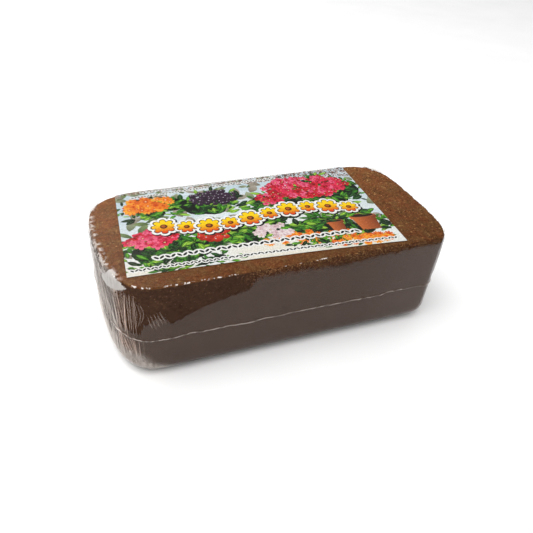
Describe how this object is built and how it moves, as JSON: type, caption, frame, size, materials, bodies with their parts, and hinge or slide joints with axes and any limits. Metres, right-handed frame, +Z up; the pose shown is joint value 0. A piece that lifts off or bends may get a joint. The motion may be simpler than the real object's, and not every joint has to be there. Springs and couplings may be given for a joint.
{
  "type": "pressed coconut coir block",
  "caption": "Pressed coconut coir block with rounded ends, wrapped in clear shrink film with a welded seam, with a printed label sheet on top.",
  "frame": {"origin": "centre of the base, on the plane it rests on", "axes": "+X along the block towards its right-hand end, +Y towards the back edge that the label folds over, +Z up; -Y is the front"},
  "size_m": [0.2, 0.097, 0.062],
  "materials": {
    "coir": "matt, fibrous and granular, from sifted pith and short fibres",
    "printed_paper": "printed paper in many colours, seen through the film",
    "clear_film": "clear and glossy, with pleats at the corners"
  },
  "bodies": {
    "root": {"coir_block": "coir", "label_sheet": "printed_paper", "film_upper": "clear_film", "film_lower": "clear_film"}
  },
  "joints": []
}
